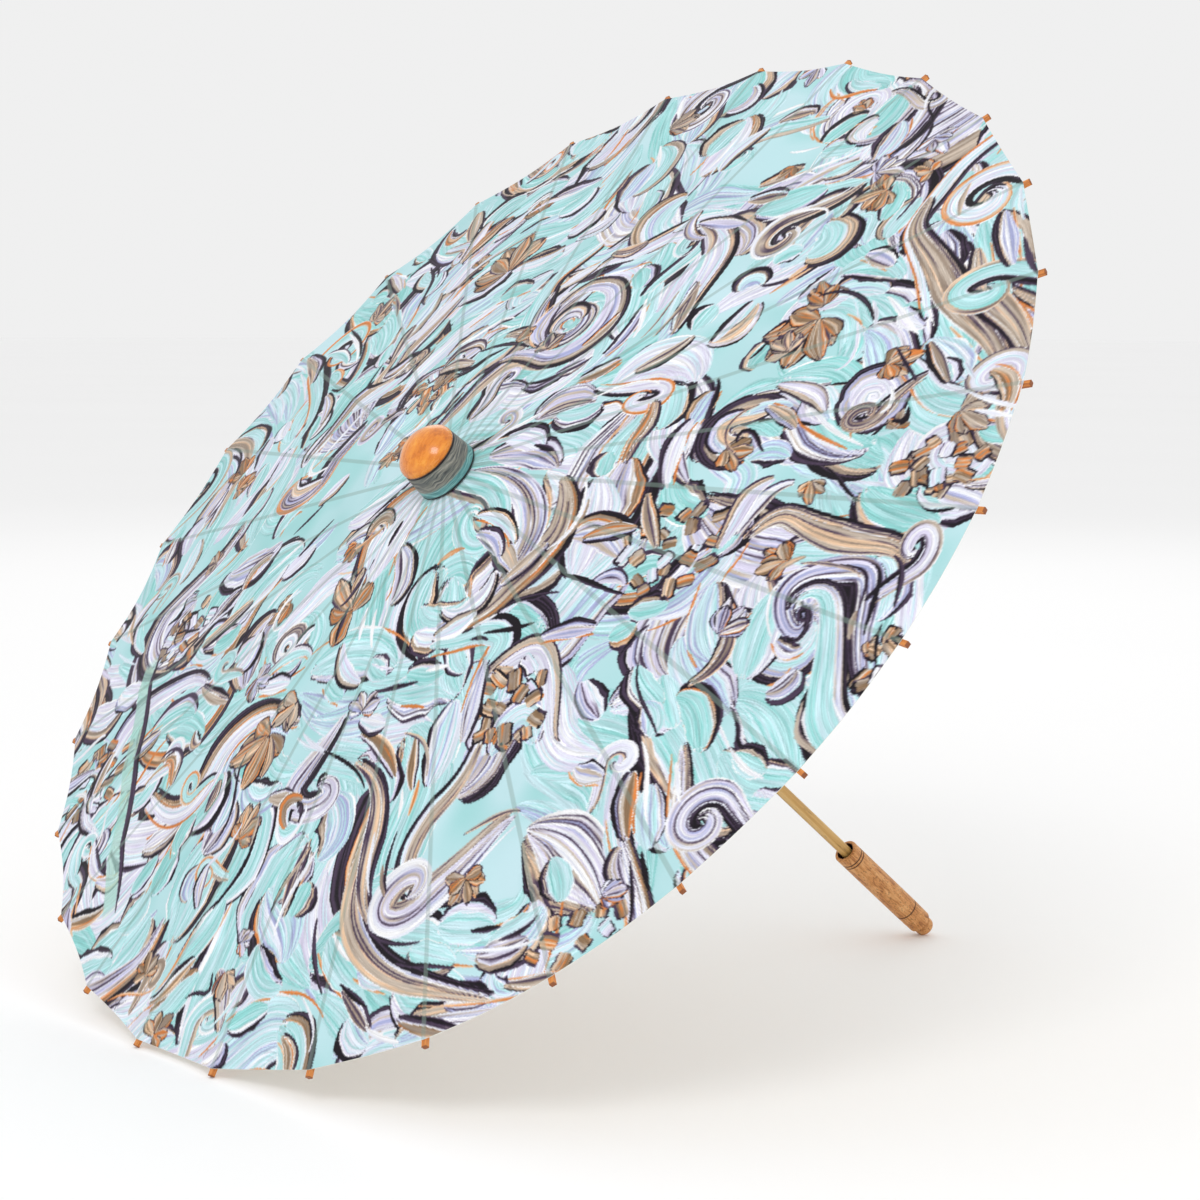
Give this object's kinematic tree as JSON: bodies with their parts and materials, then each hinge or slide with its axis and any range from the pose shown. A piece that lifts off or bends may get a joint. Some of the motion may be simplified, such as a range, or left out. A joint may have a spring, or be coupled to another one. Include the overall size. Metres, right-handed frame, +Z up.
{
  "type": "oil paper umbrella",
  "caption": "Round folding parasol: painted paper canopy on bamboo ribs and stretchers, with a sliding runner, domed finial, slim pole and turned handle.",
  "frame": {"origin": "centre of the bottom of the whole part's box, on the floor that the open parasol lies on", "axes": "+Z up; +X from the canopy's side towards the handle's end, so the pole lies in the XZ plane and rises towards -X; +Y across the canopy"},
  "size_m": [0.6496, 0.8158, 0.6365],
  "materials": {
    "pole_bamboo": "satin",
    "handle_wood": "satin",
    "hub_wood": "matte",
    "wire": "satin",
    "wrapped_paper": "satin",
    "varnished_wood": "gloss",
    "oiled_paper": "satin",
    "rib_bamboo": "satin"
  },
  "bodies": {
    "shaft": {"pole": "pole_bamboo", "handle": "handle_wood", "top_notch": "hub_wood", "rib_wire": "wire", "cap_collar": "wrapped_paper", "finial": "varnished_wood", "canopy": "oiled_paper"},
    "runner": {"runner": "hub_wood"},
    "rib_01": {"rib_01": "rib_bamboo"},
    "stretcher_01": {"stretcher_01": "rib_bamboo"},
    "rib_02": {"rib_02": "rib_bamboo"},
    "stretcher_02": {"stretcher_02": "rib_bamboo"},
    "rib_03": {"rib_03": "rib_bamboo"},
    "stretcher_03": {"stretcher_03": "rib_bamboo"},
    "rib_04": {"rib_04": "rib_bamboo"},
    "stretcher_04": {"stretcher_04": "rib_bamboo"},
    "rib_05": {"rib_05": "rib_bamboo"},
    "stretcher_05": {"stretcher_05": "rib_bamboo"},
    "rib_06": {"rib_06": "rib_bamboo"},
    "stretcher_06": {"stretcher_06": "rib_bamboo"},
    "rib_07": {"rib_07": "rib_bamboo"},
    "stretcher_07": {"stretcher_07": "rib_bamboo"},
    "rib_09": {"rib_09": "rib_bamboo"},
    "stretcher_09": {"stretcher_09": "rib_bamboo"},
    "rib_10": {"rib_10": "rib_bamboo"},
    "stretcher_10": {"stretcher_10": "rib_bamboo"},
    "rib_11": {"rib_11": "rib_bamboo"},
    "stretcher_11": {"stretcher_11": "rib_bamboo"},
    "rib_12": {"rib_12": "rib_bamboo"},
    "stretcher_12": {"stretcher_12": "rib_bamboo"},
    "rib_13": {"rib_13": "rib_bamboo"},
    "stretcher_13": {"stretcher_13": "rib_bamboo"},
    "rib_14": {"rib_14": "rib_bamboo"},
    "stretcher_14": {"stretcher_14": "rib_bamboo"},
    "rib_15": {"rib_15": "rib_bamboo"},
    "stretcher_15": {"stretcher_15": "rib_bamboo"},
    "rib_16": {"rib_16": "rib_bamboo"},
    "stretcher_16": {"stretcher_16": "rib_bamboo"},
    "rib_17": {"rib_17": "rib_bamboo"},
    "stretcher_17": {"stretcher_17": "rib_bamboo"},
    "rib_18": {"rib_18": "rib_bamboo"},
    "stretcher_18": {"stretcher_18": "rib_bamboo"},
    "rib_19": {"rib_19": "rib_bamboo"},
    "stretcher_19": {"stretcher_19": "rib_bamboo"},
    "rib_20": {"rib_20": "rib_bamboo"},
    "stretcher_20": {"stretcher_20": "rib_bamboo"},
    "rib_22": {"rib_22": "rib_bamboo"},
    "stretcher_22": {"stretcher_22": "rib_bamboo"},
    "rib_23": {"rib_23": "rib_bamboo"},
    "stretcher_23": {"stretcher_23": "rib_bamboo"},
    "rib_24": {"rib_24": "rib_bamboo"},
    "stretcher_24": {"stretcher_24": "rib_bamboo"},
    "rib_25": {"rib_25": "rib_bamboo"},
    "stretcher_25": {"stretcher_25": "rib_bamboo"},
    "rib_26": {"rib_26": "rib_bamboo"},
    "stretcher_26": {"stretcher_26": "rib_bamboo"},
    "rib_27": {"rib_27": "rib_bamboo"},
    "stretcher_27": {"stretcher_27": "rib_bamboo"},
    "rib_28": {"rib_28": "rib_bamboo"},
    "stretcher_28": {"stretcher_28": "rib_bamboo"}
  },
  "joints": [
    {"name": "runner_slide", "type": "slide", "parent": "shaft", "child": "runner", "axis": [0.7784, 0, -0.6278], "range_m": [0, 0.2575], "deforming": ["canopy"]},
    {"name": "rib_01_fold", "type": "hinge", "parent": "shaft", "child": "rib_01", "pos_m": [-0.12476, -0.00157, 0.34632], "axis": [0.0703, -0.9937, 0.0872], "range_deg": [0, 78]},
    {"name": "stretcher_01_fold", "type": "hinge", "parent": "rib_01", "child": "stretcher_01", "pos_m": [-0.20813, -0.02096, 0.19248], "axis": [-0.0703, 0.9937, -0.0872], "range_deg": [0, 142]},
    {"name": "rib_02_fold", "type": "hinge", "parent": "shaft", "child": "rib_02", "pos_m": [-0.12432, -0.00462, 0.34687], "axis": [0.2073, -0.9439, 0.2571], "range_deg": [0, 78]},
    {"name": "stretcher_02_fold", "type": "hinge", "parent": "rib_02", "child": "stretcher_02", "pos_m": [-0.20227, -0.06182, 0.19974], "axis": [-0.2073, 0.9439, -0.2571], "range_deg": [0, 142]},
    {"name": "rib_03_fold", "type": "hinge", "parent": "shaft", "child": "rib_03", "pos_m": [-0.12347, -0.00745, 0.34792], "axis": [0.334, -0.8467, 0.4141], "range_deg": [0, 78]},
    {"name": "stretcher_03_fold", "type": "hinge", "parent": "rib_03", "child": "stretcher_03", "pos_m": [-0.19086, -0.09958, 0.2139], "axis": [-0.334, 0.8467, -0.4141], "range_deg": [0, 142]},
    {"name": "rib_04_fold", "type": "hinge", "parent": "shaft", "child": "rib_04", "pos_m": [-0.12224, -0.0099, 0.34945], "axis": [0.4439, -0.7071, 0.5504], "range_deg": [0, 78]},
    {"name": "stretcher_04_fold", "type": "hinge", "parent": "rib_04", "child": "stretcher_04", "pos_m": [-0.17445, -0.13235, 0.23424], "axis": [-0.4439, 0.7071, -0.5504], "range_deg": [0, 142]},
    {"name": "rib_05_fold", "type": "hinge", "parent": "shaft", "child": "rib_05", "pos_m": [-0.1207, -0.01185, 0.35135], "axis": [0.5315, -0.532, 0.6591], "range_deg": [0, 78]},
    {"name": "stretcher_05_fold", "type": "hinge", "parent": "rib_05", "child": "stretcher_05", "pos_m": [-0.15388, -0.15849, 0.25975], "axis": [-0.5315, 0.532, -0.6591], "range_deg": [0, 142]},
    {"name": "rib_06_fold", "type": "hinge", "parent": "shaft", "child": "rib_06", "pos_m": [-0.11893, -0.01321, 0.35355], "axis": [0.5925, -0.3303, 0.7347], "range_deg": [0, 78]},
    {"name": "stretcher_06_fold", "type": "hinge", "parent": "rib_06", "child": "stretcher_06", "pos_m": [-0.13017, -0.17667, 0.28914], "axis": [-0.5925, 0.3303, -0.7347], "range_deg": [0, 142]},
    {"name": "rib_07_fold", "type": "hinge", "parent": "shaft", "child": "rib_07", "pos_m": [-0.11701, -0.01391, 0.35593], "axis": [0.6238, -0.112, 0.7735], "range_deg": [0, 78]},
    {"name": "stretcher_07_fold", "type": "hinge", "parent": "rib_07", "child": "stretcher_07", "pos_m": [-0.10452, -0.186, 0.32095], "axis": [-0.6238, 0.112, -0.7735], "range_deg": [0, 142]},
    {"name": "rib_09_fold", "type": "hinge", "parent": "shaft", "child": "rib_09", "pos_m": [-0.11312, -0.01321, 0.36075], "axis": [0.5925, 0.3303, 0.7347], "range_deg": [0, 78]},
    {"name": "stretcher_09_fold", "type": "hinge", "parent": "rib_09", "child": "stretcher_09", "pos_m": [-0.05256, -0.17667, 0.38538], "axis": [-0.5925, -0.3303, -0.7347], "range_deg": [0, 142]},
    {"name": "rib_10_fold", "type": "hinge", "parent": "shaft", "child": "rib_10", "pos_m": [-0.11135, -0.01185, 0.36295], "axis": [0.5315, 0.532, 0.6591], "range_deg": [0, 78]},
    {"name": "stretcher_10_fold", "type": "hinge", "parent": "rib_10", "child": "stretcher_10", "pos_m": [-0.02885, -0.15849, 0.41478], "axis": [-0.5315, -0.532, -0.6591], "range_deg": [0, 142]},
    {"name": "rib_11_fold", "type": "hinge", "parent": "shaft", "child": "rib_11", "pos_m": [-0.10981, -0.0099, 0.36486], "axis": [0.4439, 0.7071, 0.5504], "range_deg": [0, 78]},
    {"name": "stretcher_11_fold", "type": "hinge", "parent": "rib_11", "child": "stretcher_11", "pos_m": [-0.00828, -0.13235, 0.44029], "axis": [-0.4439, -0.7071, -0.5504], "range_deg": [0, 142]},
    {"name": "rib_12_fold", "type": "hinge", "parent": "shaft", "child": "rib_12", "pos_m": [-0.10859, -0.00745, 0.36638], "axis": [0.334, 0.8467, 0.4141], "range_deg": [0, 78]},
    {"name": "stretcher_12_fold", "type": "hinge", "parent": "rib_12", "child": "stretcher_12", "pos_m": [0.00813, -0.09958, 0.46063], "axis": [-0.334, -0.8467, -0.4141], "range_deg": [0, 142]},
    {"name": "rib_13_fold", "type": "hinge", "parent": "shaft", "child": "rib_13", "pos_m": [-0.10773, -0.00462, 0.36744], "axis": [0.2073, 0.9439, 0.2571], "range_deg": [0, 78]},
    {"name": "stretcher_13_fold", "type": "hinge", "parent": "rib_13", "child": "stretcher_13", "pos_m": [0.01954, -0.06182, 0.47479], "axis": [-0.2073, -0.9439, -0.2571], "range_deg": [0, 142]},
    {"name": "rib_14_fold", "type": "hinge", "parent": "shaft", "child": "rib_14", "pos_m": [-0.10729, -0.00157, 0.36798], "axis": [0.0703, 0.9937, 0.0872], "range_deg": [0, 78]},
    {"name": "stretcher_14_fold", "type": "hinge", "parent": "rib_14", "child": "stretcher_14", "pos_m": [0.0254, -0.02096, 0.48205], "axis": [-0.0703, -0.9937, -0.0872], "range_deg": [0, 142]},
    {"name": "rib_15_fold", "type": "hinge", "parent": "shaft", "child": "rib_15", "pos_m": [-0.10729, 0.00157, 0.36798], "axis": [-0.0703, 0.9937, -0.0872], "range_deg": [0, 78]},
    {"name": "stretcher_15_fold", "type": "hinge", "parent": "rib_15", "child": "stretcher_15", "pos_m": [0.0254, 0.02096, 0.48205], "axis": [0.0703, -0.9937, 0.0872], "range_deg": [0, 142]},
    {"name": "rib_16_fold", "type": "hinge", "parent": "shaft", "child": "rib_16", "pos_m": [-0.10773, 0.00462, 0.36744], "axis": [-0.2073, 0.9439, -0.2571], "range_deg": [0, 78]},
    {"name": "stretcher_16_fold", "type": "hinge", "parent": "rib_16", "child": "stretcher_16", "pos_m": [0.01954, 0.06182, 0.47479], "axis": [0.2073, -0.9439, 0.2571], "range_deg": [0, 142]},
    {"name": "rib_17_fold", "type": "hinge", "parent": "shaft", "child": "rib_17", "pos_m": [-0.10859, 0.00745, 0.36638], "axis": [-0.334, 0.8467, -0.4141], "range_deg": [0, 78]},
    {"name": "stretcher_17_fold", "type": "hinge", "parent": "rib_17", "child": "stretcher_17", "pos_m": [0.00813, 0.09958, 0.46063], "axis": [0.334, -0.8467, 0.4141], "range_deg": [0, 142]},
    {"name": "rib_18_fold", "type": "hinge", "parent": "shaft", "child": "rib_18", "pos_m": [-0.10981, 0.0099, 0.36486], "axis": [-0.4439, 0.7071, -0.5504], "range_deg": [0, 78]},
    {"name": "stretcher_18_fold", "type": "hinge", "parent": "rib_18", "child": "stretcher_18", "pos_m": [-0.00828, 0.13235, 0.44029], "axis": [0.4439, -0.7071, 0.5504], "range_deg": [0, 142]},
    {"name": "rib_19_fold", "type": "hinge", "parent": "shaft", "child": "rib_19", "pos_m": [-0.11135, 0.01185, 0.36295], "axis": [-0.5315, 0.532, -0.6591], "range_deg": [0, 78]},
    {"name": "stretcher_19_fold", "type": "hinge", "parent": "rib_19", "child": "stretcher_19", "pos_m": [-0.02885, 0.15849, 0.41478], "axis": [0.5315, -0.532, 0.6591], "range_deg": [0, 142]},
    {"name": "rib_20_fold", "type": "hinge", "parent": "shaft", "child": "rib_20", "pos_m": [-0.11312, 0.01321, 0.36075], "axis": [-0.5925, 0.3303, -0.7347], "range_deg": [0, 78]},
    {"name": "stretcher_20_fold", "type": "hinge", "parent": "rib_20", "child": "stretcher_20", "pos_m": [-0.05256, 0.17667, 0.38538], "axis": [0.5925, -0.3303, 0.7347], "range_deg": [0, 142]},
    {"name": "rib_22_fold", "type": "hinge", "parent": "shaft", "child": "rib_22", "pos_m": [-0.11701, 0.01391, 0.35593], "axis": [-0.6238, -0.112, -0.7735], "range_deg": [0, 78]},
    {"name": "stretcher_22_fold", "type": "hinge", "parent": "rib_22", "child": "stretcher_22", "pos_m": [-0.10452, 0.186, 0.32095], "axis": [0.6238, 0.112, 0.7735], "range_deg": [0, 142]},
    {"name": "rib_23_fold", "type": "hinge", "parent": "shaft", "child": "rib_23", "pos_m": [-0.11893, 0.01321, 0.35355], "axis": [-0.5925, -0.3303, -0.7347], "range_deg": [0, 78]},
    {"name": "stretcher_23_fold", "type": "hinge", "parent": "rib_23", "child": "stretcher_23", "pos_m": [-0.13017, 0.17667, 0.28914], "axis": [0.5925, 0.3303, 0.7347], "range_deg": [0, 142]},
    {"name": "rib_24_fold", "type": "hinge", "parent": "shaft", "child": "rib_24", "pos_m": [-0.1207, 0.01185, 0.35135], "axis": [-0.5315, -0.532, -0.6591], "range_deg": [0, 78]},
    {"name": "stretcher_24_fold", "type": "hinge", "parent": "rib_24", "child": "stretcher_24", "pos_m": [-0.15388, 0.15849, 0.25975], "axis": [0.5315, 0.532, 0.6591], "range_deg": [0, 142]},
    {"name": "rib_25_fold", "type": "hinge", "parent": "shaft", "child": "rib_25", "pos_m": [-0.12224, 0.0099, 0.34945], "axis": [-0.4439, -0.7071, -0.5504], "range_deg": [0, 78]},
    {"name": "stretcher_25_fold", "type": "hinge", "parent": "rib_25", "child": "stretcher_25", "pos_m": [-0.17445, 0.13235, 0.23424], "axis": [0.4439, 0.7071, 0.5504], "range_deg": [0, 142]},
    {"name": "rib_26_fold", "type": "hinge", "parent": "shaft", "child": "rib_26", "pos_m": [-0.12347, 0.00745, 0.34792], "axis": [-0.334, -0.8467, -0.4141], "range_deg": [0, 78]},
    {"name": "stretcher_26_fold", "type": "hinge", "parent": "rib_26", "child": "stretcher_26", "pos_m": [-0.19086, 0.09958, 0.2139], "axis": [0.334, 0.8467, 0.4141], "range_deg": [0, 142]},
    {"name": "rib_27_fold", "type": "hinge", "parent": "shaft", "child": "rib_27", "pos_m": [-0.12432, 0.00462, 0.34687], "axis": [-0.2073, -0.9439, -0.2571], "range_deg": [0, 78]},
    {"name": "stretcher_27_fold", "type": "hinge", "parent": "rib_27", "child": "stretcher_27", "pos_m": [-0.20227, 0.06182, 0.19974], "axis": [0.2073, 0.9439, 0.2571], "range_deg": [0, 142]},
    {"name": "rib_28_fold", "type": "hinge", "parent": "shaft", "child": "rib_28", "pos_m": [-0.12476, 0.00157, 0.34632], "axis": [-0.0703, -0.9937, -0.0872], "range_deg": [0, 78]},
    {"name": "stretcher_28_fold", "type": "hinge", "parent": "rib_28", "child": "stretcher_28", "pos_m": [-0.20813, 0.02096, 0.19248], "axis": [0.0703, 0.9937, 0.0872], "range_deg": [0, 142]}
  ],
  "couplings": [
    {"joint": "rib_01_fold", "follows": "runner_slide", "rad_per_m": 5.2853},
    {"joint": "stretcher_01_fold", "follows": "runner_slide", "rad_per_m": 9.6044},
    {"joint": "rib_02_fold", "follows": "runner_slide", "rad_per_m": 5.2853},
    {"joint": "stretcher_02_fold", "follows": "runner_slide", "rad_per_m": 9.6044},
    {"joint": "rib_03_fold", "follows": "runner_slide", "rad_per_m": 5.2853},
    {"joint": "stretcher_03_fold", "follows": "runner_slide", "rad_per_m": 9.6044},
    {"joint": "rib_04_fold", "follows": "runner_slide", "rad_per_m": 5.2853},
    {"joint": "stretcher_04_fold", "follows": "runner_slide", "rad_per_m": 9.6044},
    {"joint": "rib_05_fold", "follows": "runner_slide", "rad_per_m": 5.2853},
    {"joint": "stretcher_05_fold", "follows": "runner_slide", "rad_per_m": 9.6044},
    {"joint": "rib_06_fold", "follows": "runner_slide", "rad_per_m": 5.2853},
    {"joint": "stretcher_06_fold", "follows": "runner_slide", "rad_per_m": 9.6044},
    {"joint": "rib_07_fold", "follows": "runner_slide", "rad_per_m": 5.2853},
    {"joint": "stretcher_07_fold", "follows": "runner_slide", "rad_per_m": 9.6044},
    {"joint": "rib_09_fold", "follows": "runner_slide", "rad_per_m": 5.2853},
    {"joint": "stretcher_09_fold", "follows": "runner_slide", "rad_per_m": 9.6044},
    {"joint": "rib_10_fold", "follows": "runner_slide", "rad_per_m": 5.2853},
    {"joint": "stretcher_10_fold", "follows": "runner_slide", "rad_per_m": 9.6044},
    {"joint": "rib_11_fold", "follows": "runner_slide", "rad_per_m": 5.2853},
    {"joint": "stretcher_11_fold", "follows": "runner_slide", "rad_per_m": 9.6044},
    {"joint": "rib_12_fold", "follows": "runner_slide", "rad_per_m": 5.2853},
    {"joint": "stretcher_12_fold", "follows": "runner_slide", "rad_per_m": 9.6044},
    {"joint": "rib_13_fold", "follows": "runner_slide", "rad_per_m": 5.2853},
    {"joint": "stretcher_13_fold", "follows": "runner_slide", "rad_per_m": 9.6044},
    {"joint": "rib_14_fold", "follows": "runner_slide", "rad_per_m": 5.2853},
    {"joint": "stretcher_14_fold", "follows": "runner_slide", "rad_per_m": 9.6044},
    {"joint": "rib_15_fold", "follows": "runner_slide", "rad_per_m": 5.2853},
    {"joint": "stretcher_15_fold", "follows": "runner_slide", "rad_per_m": 9.6044},
    {"joint": "rib_16_fold", "follows": "runner_slide", "rad_per_m": 5.2853},
    {"joint": "stretcher_16_fold", "follows": "runner_slide", "rad_per_m": 9.6044},
    {"joint": "rib_17_fold", "follows": "runner_slide", "rad_per_m": 5.2853},
    {"joint": "stretcher_17_fold", "follows": "runner_slide", "rad_per_m": 9.6044},
    {"joint": "rib_18_fold", "follows": "runner_slide", "rad_per_m": 5.2853},
    {"joint": "stretcher_18_fold", "follows": "runner_slide", "rad_per_m": 9.6044},
    {"joint": "rib_19_fold", "follows": "runner_slide", "rad_per_m": 5.2853},
    {"joint": "stretcher_19_fold", "follows": "runner_slide", "rad_per_m": 9.6044},
    {"joint": "rib_20_fold", "follows": "runner_slide", "rad_per_m": 5.2853},
    {"joint": "stretcher_20_fold", "follows": "runner_slide", "rad_per_m": 9.6044},
    {"joint": "rib_22_fold", "follows": "runner_slide", "rad_per_m": 5.2853},
    {"joint": "stretcher_22_fold", "follows": "runner_slide", "rad_per_m": 9.6044},
    {"joint": "rib_23_fold", "follows": "runner_slide", "rad_per_m": 5.2853},
    {"joint": "stretcher_23_fold", "follows": "runner_slide", "rad_per_m": 9.6044},
    {"joint": "rib_24_fold", "follows": "runner_slide", "rad_per_m": 5.2853},
    {"joint": "stretcher_24_fold", "follows": "runner_slide", "rad_per_m": 9.6044},
    {"joint": "rib_25_fold", "follows": "runner_slide", "rad_per_m": 5.2853},
    {"joint": "stretcher_25_fold", "follows": "runner_slide", "rad_per_m": 9.6044},
    {"joint": "rib_26_fold", "follows": "runner_slide", "rad_per_m": 5.2853},
    {"joint": "stretcher_26_fold", "follows": "runner_slide", "rad_per_m": 9.6044},
    {"joint": "rib_27_fold", "follows": "runner_slide", "rad_per_m": 5.2853},
    {"joint": "stretcher_27_fold", "follows": "runner_slide", "rad_per_m": 9.6044},
    {"joint": "rib_28_fold", "follows": "runner_slide", "rad_per_m": 5.2853},
    {"joint": "stretcher_28_fold", "follows": "runner_slide", "rad_per_m": 9.6044}
  ]
}
